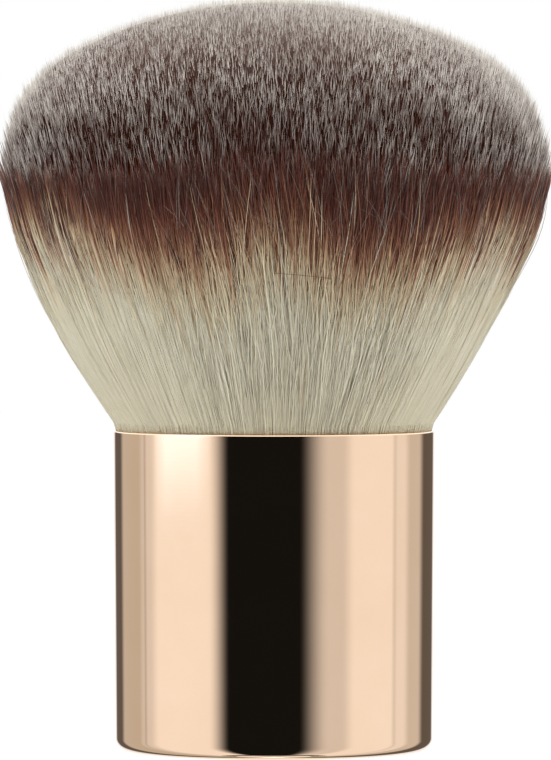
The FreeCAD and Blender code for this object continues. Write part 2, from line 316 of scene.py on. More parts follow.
def makeBowl():
    made = addObject("reflectorBowl", bowlMesh())
    mat, tree = newMaterial("reflectorBoards")
    where = node(tree, "ShaderNodeNewGeometry")
    split = node(tree, "ShaderNodeSeparateXYZ")
    tree.links.new(where.outputs["Position"], split.inputs[0])
    front = calc(tree, "MULTIPLY", split.outputs["Y"], -1.0)
    turn = calc(tree, "ARCTAN2", split.outputs["X"], front)
    degrees = calc(tree, "MULTIPLY", turn, 180 / math.pi)
    stops = []
    for first, last, level, tint in bowl["boards"]:
        colour = [level * part for part in tint]
        stops += [(first / 360 + 0.5, colour), (last / 360 + 0.5, colour)]
    boards = ramp(tree, span(tree, degrees, 0.0, 1.0, -180, 180), stops, "EASE")

    # brighter upper part of the left soft box
    low, high = bowl["hotSpan"]
    middle, half = (low + high) / 2, (high - low) / 2
    off = calc(tree, "ABSOLUTE", calc(tree, "SUBTRACT", degrees, middle))
    inside = span(tree, off, 1.0, 0.0, half * bowl["hotSoft"], half)
    raised = span(tree, split.outputs["Z"], 0.0, bowl["hotLevel"], *bowl["hotHeights"])
    glare = node(tree, "ShaderNodeEmission", Color=(*bowl["hotTint"], 1))
    tree.links.new(calc(tree, "MULTIPLY", inside, raised), glare.inputs["Strength"])

    # below the horizon: a dark line, then a paler pool of light
    rise = calc(tree, "ARCSINE", calc(tree, "DIVIDE", split.outputs["Z"], bowl["radius"]))
    rise = calc(tree, "MULTIPLY", rise, 180 / math.pi)
    lineTop, lineFoot = bowl["darkLine"]
    above = calc(tree, "GREATER_THAN", rise, lineTop)
    below = calc(tree, "LESS_THAN", rise, lineFoot)
    wide = calc(tree, "GREATER_THAN", calc(tree, "ABSOLUTE", degrees), bowl["darkSpan"])
    strength = calc(tree, "MAXIMUM", above, wide)
    strength = calc(tree, "ADD", strength, calc(tree, "MULTIPLY", below, bowl["underShare"]))
    brow = span(tree, rise, 0.0, 1.0, *bowl["browHeights"])
    strength = calc(tree, "MULTIPLY", strength, calc(tree, "SUBTRACT", 1.0, brow))
    glow = node(tree, "ShaderNodeEmission")
    tree.links.new(boards, glow.inputs["Color"])
    tree.links.new(strength, glow.inputs["Strength"])
    pool = node(tree, "ShaderNodeEmission", Color=(1, 1, 1, 1))
    white = calc(tree, "MULTIPLY", below, bowl["underLevel"])
    white = calc(tree, "ADD", white, calc(tree, "MULTIPLY", brow, bowl["browLevel"]))
    tree.links.new(white, pool.inputs["Strength"])
    both = node(tree, "ShaderNodeAddShader")
    tree.links.new(glow.outputs[0], both.inputs[0])
    tree.links.new(pool.outputs[0], both.inputs[1])
    every = node(tree, "ShaderNodeAddShader")
    tree.links.new(both.outputs[0], every.inputs[0])
    tree.links.new(glare.outputs[0], every.inputs[1])
    out = node(tree, "ShaderNodeOutputMaterial")
    tree.links.new(every.outputs[0], out.inputs["Surface"])
    wear(made, mat)
    for kind in ("camera", "diffuse", "transmission", "shadow", "volume_scatter"):
        setattr(made, f"visible_{kind}", False)


makeBowl()
print("reflectors placed")


# effects that several finishes share
def newGroup(name, inputs, outputs):
    group = bpy.data.node_groups.new(name, "ShaderNodeTree")
    for label, value in inputs.items():
        socket = group.interface.new_socket(label, in_out="INPUT", socket_type="NodeSocketFloat")
        socket.default_value = value
    for label in outputs:
        group.interface.new_socket(label, in_out="OUTPUT", socket_type="NodeSocketFloat")
    return group, node(group, "NodeGroupInput"), node(group, "NodeGroupOutput")


def grainGroup():
    # soft cloudy grain, as a value between two levels and as a height
    group, given, out = newGroup("fineGrain", {"Scale": 900, "Low": 0, "High": 1}, ("Value", "Height"))
    where = node(group, "ShaderNodeTexCoord")
    noise = node(group, "ShaderNodeTexNoise", Detail=4.0, Roughness=0.6)
    group.links.new(where.outputs["Object"], noise.inputs["Vector"])
    group.links.new(given.outputs["Scale"], noise.inputs["Scale"])
    value = span(group, noise.outputs["Fac"], given.outputs["Low"], given.outputs["High"], 0.3, 0.7)
    group.links.new(value, out.inputs["Value"])
    group.links.new(noise.outputs["Fac"], out.inputs["Height"])
    return group


def turnedGroup():
    # fine marks of turning and polishing, in circles round the axis
    group, given, out = newGroup("turnedMarks", {"Pitch": 9000, "Waver": 0.5}, ("Mask", "Height"))
    where = node(group, "ShaderNodeTexCoord")
    split = node(group, "ShaderNodeSeparateXYZ")
    group.links.new(where.outputs["Object"], split.inputs[0])
    across = calc(group, "SQRT", calc(group, "ADD", calc(group, "POWER", split.outputs["X"], 2.0),
                                      calc(group, "POWER", split.outputs["Y"], 2.0)))
    along = calc(group, "ADD", across, split.outputs["Z"])
    noise = node(group, "ShaderNodeTexNoise", noise_dimensions="1D", Detail=3.0)
    group.links.new(calc(group, "MULTIPLY", along, given.outputs["Pitch"]), noise.inputs["W"])
    wave = calc(group, "SINE", calc(group, "MULTIPLY", along, given.outputs["Pitch"]))
    waver = calc(group, "MULTIPLY", noise.outputs["Fac"], given.outputs["Waver"])
    group.links.new(calc(group, "ADD", wave, waver), out.inputs["Height"])
    group.links.new(span(group, noise.outputs["Fac"], 0.0, 1.0, 0.35, 0.65), out.inputs["Mask"])
    return group


def speckGroup():
    # small round specks: foam cells, bubbles, cut fibre ends
    group, given, out = newGroup("specks", {"Scale": 1500, "Size": 0.35}, ("Mask", "Height"))
    where = node(group, "ShaderNodeTexCoord")
    cells = node(group, "ShaderNodeTexVoronoi")
    group.links.new(where.outputs["Object"], cells.inputs["Vector"])
    group.links.new(given.outputs["Scale"], cells.inputs["Scale"])
    mask = span(group, cells.outputs["Distance"], 1.0, 0.0, 0.0, given.outputs["Size"])
    group.links.new(mask, out.inputs["Mask"])
    group.links.new(cells.outputs["Distance"], out.inputs["Height"])
    return group


effects = {"grain": grainGroup(), "turned": turnedGroup(), "specks": speckGroup()}


def useEffect(tree, effect, **values):
    made = node(tree, "ShaderNodeGroup")
    made.node_tree = effects[effect]
    for key, value in values.items():
        made.inputs[key].default_value = value
    return made


def bump(tree, shader, height, strength, depth):
    made = node(tree, "ShaderNodeBump", Strength=strength, Distance=depth)
    tree.links.new(height, made.inputs["Height"])
    tree.links.new(made.outputs["Normal"], shader.inputs["Normal"])


print("shared effects built")


# handle: one drawn and polished metal cup
handle = {
    "baseRadius": 15.8 * mm,
    "corner": 1.2 * mm,
    "wall": 0.5 * mm,
    "rimRound": 0.2 * mm,
    "segments": 360,
    "cornerSteps": 28,
    "wallSteps": 24,
    "rimSteps": 10,
    "innerSteps": 12,
    "baseRings": (0.35, 0.7, 0.95),   # shares of the flat base's radius
    "floorRings": (0.7, 0.35),
    "paleMetal": (0.91, 0.675, 0.495),
    "deepMetal": (0.885, 0.645, 0.465),
    "roughness": (0.035, 0.06),
    "cloudScale": 120,
    "smudgeScale": 260,
    "polish": {"Pitch": 14000, "Waver": 1.5},
    "polishDepth": 0.0004 * mm,
    "polishStrength": 0.05,
}


def roseMetal():
    mat, tree, shader = newPrincipled("polishedRoseMetal", Metallic=1.0)
    cloud = useEffect(tree, "grain", Scale=handle["cloudScale"], Low=0.0, High=1.0)
    colour = blendColours(tree, cloud.outputs["Value"], handle["deepMetal"], handle["paleMetal"])
    tree.links.new(colour, shader.inputs["Base Color"])
    low, high = handle["roughness"]
    smudge = useEffect(tree, "grain", Scale=handle["smudgeScale"], Low=low, High=high)
    tree.links.new(smudge.outputs["Value"], shader.inputs["Roughness"])
    polish = useEffect(tree, "turned", **handle["polish"])
    bump(tree, shader, polish.outputs["Height"], handle["polishStrength"], handle["polishDepth"])
    return mat


def arcPoints(centre, radius, first, last, count):
    turns = np.radians(np.linspace(first, last, count))
    return [(centre[0] + radius * math.cos(a), centre[1] + radius * math.sin(a)) for a in turns]


def shellProfile():
    # outside from the middle of the base up to the rim, then down the inside
    corner, wall, soft = handle["corner"], handle["wall"], handle["rimRound"]
    lean = math.atan2(rimRadius - handle["baseRadius"], rimZ)
    tilt = math.degrees(lean)
    footX = handle["baseRadius"] - corner * (1 / math.cos(lean) - math.tan(lean))
    points = [(footX * share, 0) for share in handle["baseRings"]]
    points += arcPoints((footX, corner), corner, -90, -tilt, handle["cornerSteps"])
    rimX = rimRadius - soft - soft * math.tan(lean)
    rimArc = arcPoints((rimX, rimZ - soft), soft, -tilt, 90, handle["rimSteps"])
    low, high = np.array(points[-1]), np.array(rimArc[0])
    for share in 0.5 - 0.5 * np.cos(np.linspace(0, math.pi, handle["wallSteps"]))[1:-1]:
        points.append(tuple(low + (high - low) * share))
    points += rimArc
    innerX = rimRadius - wall + soft
    points += arcPoints((innerX, rimZ - soft), soft, 90, 180 - tilt, handle["rimSteps"])
    points += arcPoints((footX, corner), corner - wall, -tilt, -90, handle["innerSteps"])
    points += [(footX * share, wall) for share in handle["floorRings"]]
    return points


def handleShell():
    profile = shellProfile()
    count = handle["segments"]
    turns = [math.tau * k / count for k in range(count)]
    verts = [(r * math.sin(a), -r * math.cos(a), z) for r, z in profile for a in turns]
    faces = ringFaces(len(profile), count)
    last = (len(profile) - 1) * count
    verts += [(0, 0, profile[0][1]), (0, 0, profile[-1][1])]
    for k in range(count):
        j = (k + 1) % count
        faces.append((j, k, len(verts) - 2))
        faces.append((last + k, last + j, len(verts) - 1))
    mesh = bpy.data.meshes.new("handleShell")
    mesh.from_pydata(verts, [], faces)
    mesh.shade_smooth()
    shell = addObject("handleShell", mesh)
    wear(shell, roseMetal())
    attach(shell, "handle")
    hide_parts("handle_shell")
    return shell


handleShell()
print("handle turned and polished")


# pieces inside the handle keep their solids and get their own finishes
innerFinishes = {
    "ballast_pad": {
        "finish": "whiteFoamTape", "effect": "specks", "values": {"Scale": 2600, "Size": 0.5},
        "dark": (0.62, 0.60, 0.54), "light": (0.85, 0.84, 0.79), "roughness": (0.75, 0.95),
        "depth": 0.06 * mm,
    },
    "ballast_weight": {
        "finish": "turnedSteel", "effect": "turned", "values": {"Pitch": 16000, "Waver": 1.2},
        "dark": (0.42, 0.43, 0.44), "light": (0.62, 0.62, 0.63), "roughness": (0.25, 0.42),
        "depth": 0.012 * mm, "metallic": 1.0,
    },
    "bristle_cup": {
        "finish": "mouldedBlackPlastic", "effect": "grain", "values": {"Scale": 3200},
        "dark": (0.018, 0.018, 0.02), "light": (0.04, 0.04, 0.044), "roughness": (0.38, 0.6),
        "depth": 0.02 * mm,
    },
    "socket_glue": {
        "finish": "amberGlue", "effect": "specks", "values": {"Scale": 900, "Size": 0.22},
        "dark": (0.48, 0.36, 0.18), "light": (0.78, 0.68, 0.46), "roughness": (0.12, 0.3),
        "depth": 0.03 * mm,
    },
    "resin_plug": {
        "finish": "castResin", "effect": "specks", "values": {"Scale": 2200, "Size": 0.3},
        "dark": (0.30, 0.19, 0.08), "light": (0.66, 0.56, 0.38), "roughness": (0.1, 0.25),
        "depth": 0.02 * mm,
    },
    "binding_cord": {
        "finish": "waxedCord", "effect": "turned", "values": {"Pitch": 21000, "Waver": 0.6},
        "dark": (0.46, 0.40, 0.28), "light": (0.72, 0.66, 0.52), "roughness": (0.55, 0.8),
        "depth": 0.05 * mm,
    },
}


innerRelief = {"grainScale": 700, "strength": 0.4}


def innerFinish(values):
    mat, tree, shader = newPrincipled(values["finish"], Metallic=values.get("metallic", 0.0))
    marks = useEffect(tree, values["effect"], **values["values"])
    mask = marks.outputs["Value" if values["effect"] == "grain" else "Mask"]
    colour = blendColours(tree, mask, values["dark"], values["light"])
    tree.links.new(colour, shader.inputs["Base Color"])
    low, high = values["roughness"]
    grain = useEffect(tree, "grain", Scale=innerRelief["grainScale"], Low=low, High=high)
    tree.links.new(grain.outputs["Value"], shader.inputs["Roughness"])
    bump(tree, shader, marks.outputs["Height"], innerRelief["strength"], values["depth"])
    return mat


for nodeName, values in innerFinishes.items():
    wear(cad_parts[nodeName], innerFinish(values))
print("inner pieces finished")


# the tuft's outline, as the solids have it
tuft = {
    "mouthInset": 0.65 * mm,    # from the rim's outer edge in to the outermost fibres
    "rootDepth": 1.0 * mm,      # fibres are drawn from this far below the rim
    "widestHeight": 26.8 * mm,
    "flankRadius": 125.0 * mm,
    "bellyRadius": 21.0 * mm,
    "shoulderRadius": 13.2 * mm,
    "tipSlope": 0.28,           # outward lean of the outermost tips
    "bendEnd": 26.0 * mm,       # above this height all of a fibre follows the head
}


def tuftOutline(z):
    # radius at each height above the rim: flank, belly, shoulder and crown arcs
    mouth = np.array([rimRadius - tuft["mouthInset"], 0])
    widest, flank, belly = tuft["widestHeight"], tuft["flankRadius"], tuft["bellyRadius"]
    shoulder = tuft["shoulderRadius"]
    bellyAt = np.array([headRadius - belly, widest])
    gap = np.linalg.norm(bellyAt - mouth)
    way = (bellyAt - mouth) / gap
    along = (flank**2 - (flank - belly)**2 + gap**2) / (2 * gap)
    aside = math.sqrt(flank**2 - along**2)
    flankAt = mouth + along * way - aside * np.array([way[1], -way[0]])
    flankTop = flankAt[1] + flank * (bellyAt[1] - flankAt[1]) / (flank - belly)
    across, rise = headRadius - shoulder, tuftHeight - widest
    crown = (across**2 + rise**2 - shoulder**2) / (2 * (rise - shoulder))
    crownZ = tuftHeight - crown
    crownFoot = crownZ + crown * (widest - crownZ) / math.hypot(across, widest - crownZ)

    def arc(x, y, radius):
        return x + np.sqrt(np.maximum(radius**2 - (z - y)**2, 0))

    pieces = [arc(*flankAt, flank), arc(*bellyAt, belly), arc(across, widest, shoulder)]
    return np.select([z < flankTop, z < widest, z < crownFoot], pieces, arc(0, crownZ, crown))


heights = np.linspace(0, tuftHeight, 3000)
outline = tuftOutline(heights)


def flareTable():
    # a free fibre of the outermost layer: along the flank, then straight on at the tips' lean
    slope = np.gradient(outline, heights)
    bend = np.argmax((slope < tuft["tipSlope"]) & (heights > tuft["widestHeight"] / 2))
    free = outline.copy()
    free[bend:] = outline[bend] + tuft["tipSlope"] * (heights[bend:] - heights[bend])
    share = np.minimum(outline / free, 1)
    share[:bend] = 1
    return free, share, heights[bend]


freeRadius, trimShare, bendHeight = flareTable()


def flareAt(z):
    return np.interp(z, heights, freeRadius)


def tipHeight(share):
    # where a fibre that starts at this share of the mouth's radius meets the trimmed dome
    top = heights >= bendHeight
    return np.interp(share, trimShare[top][::-1], heights[top][::-1])


def spread(radius, azimuth, z):
    return np.stack([radius * np.sin(azimuth), -radius * np.cos(azimuth), rimZ + z], axis=-1)


def waves(points, length, seed, count=12):
    # smooth noise of about unit size from a few sine waves in random directions
    r = draws(seed)
    total = np.zeros(len(points))
    for _ in range(count):
        way = r.normal(size=points.shape[1])
        way *= math.tau / (length * np.linalg.norm(way))
        total += np.sin(points @ way + r.uniform(0, math.tau))
    return total * math.sqrt(2 / count)


print("tuft outline laid out, fibres leave it at", round(bendHeight / mm, 1), "mm")


# dyed fibre: colour by place along the fibre, tone by column of its map
dye = {
    "length": 30.0 * mm,   # the map's height covers this much fibre, tip at the top
    "columns": 64,
    "stops": [
        # millimetres from the tip, colour
        # the stop at 30 mm, a little darker and yellower, is painted shade where the fibres go into the
        # rim
        (30.0, (226, 218, 192)), (20.0, (231, 226, 205)), (16.0, (224, 211, 180)),
        (13.0, (203, 174, 140)), (11.0, (168, 121, 92)), (9.2, (130, 80, 62)),
        (7.0, (107, 60, 48)), (4.6, (85, 46, 38)), (3.2, (80, 53, 46)),
        (2.0, (108, 92, 86)), (1.0, (163, 153, 145)), (0.4, (207, 200, 191)), (0.0, (234, 229, 219)),
    ],
    "value": (0.15, 1.25),       # darkest and lightest tone
    "saturation": (1.25, 0.92),
    "roughness": 0.45,
    "shine": 0.35,
    "edge": 18.7 * mm,           # height above the rim where brown gives way to cream
    "edgeRow": 11.0 * mm,        # the map's row at that edge
    "tongue": 1.2 * mm,
    "tongues": 6,
    "sideRise": 2.4 * mm,        # the edge is this much higher at the left and right, partly as the dye lies and partly painted light for the light that falls on the sides
    "sideSharp": 0.6,            # and the brown gives way this much quicker there, painted light
    "rises": [
        # centre and half width in degrees, millimetres higher
        (-50, 24, 1.7), (50, 20, 0.5), (1, 5, 1.5), (-9, 5, -0.9),
    ],
    "darkest": 5.2 * mm,         # the map's row in the dyed band
    "sideLitBrownRows": 4.2 * mm,     # further down the map at the left and right, so the brown there is painted lighter for the light that falls on the sides
    "ripple": 0.3 * mm,
    "ripples": (9, 13, 17, 23, 31, 41),   # waves round the tuft
    "margin": 0.002,             # the map's outermost rows stay unused
}


def mapRow(fromTip):
    return np.clip(1 - fromTip / dye["length"], dye["margin"], 1 - dye["margin"])


def readMap(tree, name):
    where = node(tree, "ShaderNodeUVMap", uv_map=name)
    split = node(tree, "ShaderNodeSeparateXYZ")
    tree.links.new(where.outputs[0], split.inputs[0])
    return where.outputs[0], split.outputs["X"], split.outputs["Y"]


def dyedColour(tree, tone, row):
    stops = [(float(mapRow(far * mm)), srgb(*colour)) for far, colour in dye["stops"]]
    toned = node(tree, "ShaderNodeHueSaturation")
    tree.links.new(ramp(tree, row, stops), toned.inputs["Color"])
    tree.links.new(span(tree, tone, *dye["value"]), toned.inputs["Value"])
    tree.links.new(span(tree, tone, *dye["saturation"]), toned.inputs["Saturation"])
    return toned.outputs["Color"]


def dyedFibre():
    mat, tree, shader = newPrincipled("dyedFibre", Roughness=dye["roughness"])
    shader.inputs["Specular IOR Level"].default_value = dye["shine"]
    _, tone, row = readMap(tree, "OFBake")
    tree.links.new(dyedColour(tree, tone, row), shader.inputs["Base Color"])
    return mat


def strandMesh(name, paths, radii, tone, fromTip):
    # closed three-sided tapered tubes, one for each fibre
    n, m, _ = paths.shape
    sides = 3
    along = paths[:, -1] - paths[:, 0]
    along /= np.linalg.norm(along, axis=1, keepdims=True)
    one = np.cross(along, [1.0, 0.3, 0.0])  # a way that no fibre quite runs
    one /= np.linalg.norm(one, axis=1, keepdims=True)
    two = np.cross(along, one)
    spin = draws(n + m).uniform(0, math.tau, n)
    rings = []
    for k in range(sides):
        turn = spin + math.tau * k / sides
        out = one * np.cos(turn)[:, None] + two * np.sin(turn)[:, None]
        rings.append(paths[:, :-1] + out[:, None] * radii[:, :-1, None])
    ring = np.stack(rings, axis=2).reshape(n, (m - 1) * sides, 3)
    verts = np.concatenate([ring, paths[:, -1:]], axis=1)
    perStrand = (m - 1) * sides + 1

    corners, sizes, places = [], [], []
    for i in range(m - 2):
        for k in range(sides):
            j = (k + 1) % sides
            corners += [i * sides + k, i * sides + j, (i + 1) * sides + j, (i + 1) * sides + k]
            places += [(k, i), (k + 1, i), (k + 1, i + 1), (k, i + 1)]
            sizes.append(4)
    for k in range(sides):
        j = (k + 1) % sides
        corners += [(m - 2) * sides + k, (m - 2) * sides + j, (m - 1) * sides]
        places += [(k, m - 2), (k + 1, m - 2), (k + 0.5, m - 1)]
        sizes.append(3)
    corners += [2, 1, 0]
    places += [(2, 0), (1, 0), (0, 0)]
    sizes.append(3)
    corners, sizes, places = np.array(corners), np.array(sizes), np.array(places)
    strands = np.arange(n)[:, None]
    starts = np.concatenate([[0], np.cumsum(sizes)[:-1]])
    # each strand keeps to the middle of its tone's column
    column = np.clip(np.round(tone * (dye["columns"] - 1)), 0, dye["columns"] - 1)
    u = (column[:, None] + 0.2 + 0.6 / sides * places[None, :, 0]) / dye["columns"]
    v = mapRow(fromTip[:, places[:, 1].astype(int)])

    mesh = bpy.data.meshes.new(name)
    mesh.vertices.add(n * perStrand)
    mesh.vertices.foreach_set("co", verts.astype(np.float32).ravel())
    mesh.loops.add(n * len(corners))
    mesh.loops.foreach_set("vertex_index", (corners + perStrand * strands).astype(np.int32).ravel())
    mesh.polygons.add(n * len(sizes))
    mesh.polygons.foreach_set("loop_start", (starts + len(corners) * strands).astype(np.int32).ravel())
    layer = mesh.uv_layers.new(name="OFBake")
    layer.uv.foreach_set("vector", np.stack([u, v], axis=2).astype(np.float32).ravel())
    mesh.update(calc_edges=True)
    mesh.shade_smooth()
    return addObject(name, mesh)


def bundles(name, perPiece, order, paths, radii, tone, fromTip):
    # strands dealt out into pieces of a handy size
    made = []
    for i in range(0, len(order), perPiece):
        pick = order[i:i + perPiece]
        label = f"{name}.{i // perPiece + 1}"
        made.append(strandMesh(label, paths[pick], radii[pick], tone[pick], fromTip[pick]))
    return made


def apart(azimuth, centre):
    # angle from a direction given in degrees, the short way round
    return (azimuth - math.radians(centre) + math.pi) % math.tau - math.pi


def sideways(azimuth):
    # 1 at the left and right as the camera sees the tuft, 0 at the front and back: the weight of the
    # painted light on the sides
    return np.sin(azimuth)**2


def dyeEdge(azimuth):
    # height above the rim where brown gives way to cream, with tongues, raised at the left and right
    # partly as painted light
    r = draws(seeds["edge"])
    edge = dye["edge"] + dye["tongue"] * np.cos(dye["tongues"] * azimuth)
    edge = edge + dye["sideRise"] * sideways(azimuth)
    for centre, half, rise in dye["rises"]:
        edge = edge + rise * mm * np.exp(-(apart(azimuth, centre) / math.radians(half))**2)
    for k in dye["ripples"]:
        edge = edge + dye["ripple"] * np.sin(k * azimuth + r.uniform(0, math.tau))
    return edge


def dyeAt(azimuth, z, shift=0):
    # distance from the tip on the dye's scale, for a fibre of the flank, with painted light that makes the
    # left and right paler
    least = dye["darkest"] + dye["sideLitBrownRows"] * sideways(azimuth)
    below = dyeEdge(azimuth) - z + shift
    below = below + dye["sideSharp"] * sideways(azimuth) * np.maximum(below, 0)
    return np.maximum(dye["edgeRow"] + below, least)


# the outside of the tuft: tight smooth fibres with some ruffled parts
flank = {
    "count": 13200,
    "depth": (0.010, 0.032),  # share of the mouth's radius that the layer takes up, tight and ruffled
    "width": 0.095 * mm,
    "taper": 5.0 * mm,
    "tipShare": 0.28,
    "widths": (0.8, 1.25),    # thinnest and thickest, times the width
    "points": 15,
    "ragged": 0.03,           # a fibre may be cut as if this share further in, so longer
    "trim": (-4.0, -0.8, 0.2),    # millimetres above the dome: least, usual, most
    "ruffled": [(8, 33), (128, 22), (190, 20), (-112, 18)],   # centre and half width, degrees
    "cross": (0.7, 2.4),      # degrees of sideways drift, tight and ruffled
    "crossMix": (0.5, 0.85),  # how much of it wisps share, and how much is each fibre's own
    "crossCurve": 1.3,
    "wispSpan": 7,            # degrees
    "wispWaves": 8,
    "strayShare": 0.15,       # part that drifts more
    "strayDrift": 2.2,        # times as much
    "lift": (0.01, 0.13),     # millimetres off the surface
    "liftCurve": 0.7,
    "weave": (0.01, 0.10),    # millimetres in and out of the surface
    "weaveFrom": 0.25,        # at its full size from this share of the length
    "wander": (0.03, 0.28),   # millimetres of slow sideways wave
    "wanderFrom": 0.5,
    "swings": (1.0, 3.0),     # fewest and most waves along a fibre
    "tones": (0.018, 0.055),  # spread of tone
    "tone": 0.70,
    "lean": [(-4, 26, -4.0), (128, 24, 3.0)],   # centre, half width, degrees that all fibres lean
    "sideLitGreyShares": (0.24, 0.7),    # part whose tips are grey, at the front and at the sides; the larger share at the sides is painted light
    "uneven": (0.25, 0.45),   # millimetres of difference in the dye's edge from fibre to fibre
    "paleShare": (0.012, 0.05),   # part of these fibres that stay pale further up
    "darkShare": (0.004, 0.02),   # part of these fibres that are brown further down
    "reach": 6.0 * mm,        # how far up or down that goes
    "bulges": [
        # size, azimuth, half width, height, half height
        (0.30 * mm, -90, 38, 9 * mm, 5 * mm),
        (-0.40 * mm, -90, 38, 22 * mm, 7 * mm),
    ],
    "perPiece": 2400,
}


def looseness(azimuth):
    # 1 where the fibres are ruffled, 0 where they lie tight
    total = np.zeros_like(azimuth)
    for centre, half in flank["ruffled"]:
        total = np.maximum(total, np.exp(-(apart(azimuth, centre) / math.radians(half))**4))
    return total


def bulgeAt(azimuth, z):
    total = 0
    for size, centre, half, height, tall in flank["bulges"]:
        off = apart(azimuth, centre) / math.radians(half)
        total = total + size * np.exp(-off**2 - ((z - height) / tall)**2)
    return total


def leanAt(azimuth):
    total = 0
    for centre, half, angle in flank["lean"]:
        total = total + math.radians(angle) * np.exp(-(apart(azimuth, centre) / math.radians(half))**2)
    return total


def tapered(width, tipShare, taper, fromTip):
    return width / 2 * (tipShare + (1 - tipShare) * np.clip(fromTip / taper, 0, 1))


def flankFibres():
    n, m = flank["count"], flank["points"]
    r = draws(seeds["flank"])
    azimuth = (np.arange(n) + r.uniform(0, 1, n)) / n * math.tau
    loose = looseness(azimuth)

    def between(key):
        tight, ruffled = flank[key]
        return tight + (ruffled - tight) * loose

    share = 1 - between("depth") * r.uniform(0, 1, n)
    cutAs = share - flank["ragged"] * r.uniform(0, 1, n)**2
    tip = tipHeight(cutAs) + r.triangular(*flank["trim"], n) * mm
    t = np.linspace(0, 1, m)[None]
    start = -tuft["rootDepth"]
    z = start + (tip[:, None] - start) * t
    wisp = waves(azimuth[:, None], math.radians(flank["wispSpan"]), seeds["wisp"], flank["wispWaves"])
    stray = np.where(r.uniform(size=n) < flank["strayShare"], flank["strayDrift"], 1.0)
    shared, own = flank["crossMix"]
    drift = np.radians(between("cross")) * (shared * wisp + own * stray * r.normal(size=n))
    drift = drift + leanAt(azimuth)
    phase = r.uniform(0, math.tau, (2, n, 1))
    rate = r.uniform(*flank["swings"], (2, n, 1))
    swing = [np.sin(math.tau * rate[i] * t + phase[i]) for i in (0, 1)]
    bow = np.sin(math.pi * t**flank["liftCurve"])
    rise = between("lift")[:, None] * mm * np.abs(r.normal(size=(n, 1))) * bow
    rise = rise + between("weave")[:, None] * mm * swing[1] * np.minimum(t / flank["weaveFrom"], 1)
    turn = azimuth[:, None] + drift[:, None] * t**flank["crossCurve"]
    radius = share[:, None] * flareAt(z) + rise + bulgeAt(turn, z)
    full = np.minimum(t / flank["wanderFrom"], 1)
    turn = turn + between("wander")[:, None] * mm * swing[0] * full / radius
    paths = spread(radius, turn, z)
    fromTip = tip[:, None] - z
    radii = tapered(flank["width"], flank["tipShare"], flank["taper"], fromTip)
    radii = radii * r.uniform(*flank["widths"], (n, 1))
    pick = r.uniform(size=n)
    shift = 1.0 * (pick < between("paleShare")) - 1.0 * (pick > 1 - between("darkShare"))
    uneven = between("uneven") * mm * r.normal(size=n) + flank["reach"] * r.uniform(0, 1, n) * shift
    brown = dyeAt(azimuth[:, None], z, uneven[:, None])
    # more grey tips at the left and right: painted light on the sides
    sideLitGreyShare = np.interp(sideways(azimuth), (0, 1), flank["sideLitGreyShares"])
    grey = (r.uniform(size=n) < sideLitGreyShare) * greyness(azimuth, tip)
    fromTip = np.where(fromTip < brown, brown + (fromTip - brown) * grey[:, None], brown)
    tone = np.clip(flank["tone"] + between("tones") * r.normal(size=n), 0, 1)
    return bundles("flankFibres", flank["perPiece"], r.permutation(n), paths, radii, tone, fromTip)


# the trimmed crown: tips all over the dome
crown = {
    "count": 120000,
    "outer": 1.0,             # share of the mouth's radius
    "scatter": (0.003, 0.01),     # unevenness of the roots: in share, and round in radians
    "ragged": 0.012,          # difference in share that each fibre is trimmed as
    "raggedFrom": 0.9,        # from this share out it goes both ways, further in it only lengthens
    "visible": 6.0 * mm,      # drawn length below each tip
    "width": 0.09 * mm,
    "taper": 2.0 * mm,
    "tipShare": 0.40,
    "widths": (0.8, 1.2),     # thinnest and thickest, times the width
    "points": 4,
    "pointCurve": 0.85,       # below 1 the points lie closer towards the tip
    "trim": (-1.3, -0.50, -0.12),
    "leftDrop": 0.25 * mm,    # the left of the dome is trimmed this much lower
    "clump": 0.24 * mm,
    "clumpLength": 1.8 * mm,
    "sway": 0.55 * mm,
    "swayUp": 0.3,            # share of clump and sway that goes up and down
    "swayCurve": 1.5,
    "outward": 0.10,          # share of a tip's sway that may leave the dome
    "greyFrom": (22.0 * mm, 37.0 * mm),   # tips go from brown to grey between these heights
    "leastGrey": 0.36,
    "greyGain": 0.1,          # added to it for each millimetre below the tip
    "greyLoss": 1.2,          # millimetres of the dye's tip that a fibre with no grey lacks
    "patches": (0.35, 0.4),   # millimetres of difference in dye, by patch and by fibre
    "patchLength": 9.0 * mm,
    "patchFrom": 1.5 * mm,    # in full from this far along the dye's scale
    "sidePaintedLight": 5.5 * mm,     # the grey comes this much lower at the left and right, painted light on the sides
    "underShares": (0.55, 0.03),   # low and high, the part that ends lower and is painted dark to the tip, as shade among the tips
    "underHeights": (35.0 * mm, 42.5 * mm),
    "underSides": 0.5,        # share of these that the left and right lack, so less painted shade there
    "underDrop": 0.35 * mm,
    # further down the dye's map for those fibres: painted shade
    "underShadeRow": 2.4 * mm,
    "tones": (0.80, 0.48),    # usual tone of grey-tipped fibres and of those painted dark as shade
    "toneSpread": 0.10,
    "perPiece": 12000,
}


def greyHeight(azimuth, z):
    # height raised at the left and right by painted light, for the grey tips, the fibres painted dark and
    # the core's painted shade
    return z + crown["sidePaintedLight"] * sideways(azimuth)


def greyness(azimuth, tip):
    return np.interp(greyHeight(azimuth, tip), crown["greyFrom"], (crown["leastGrey"], 1))


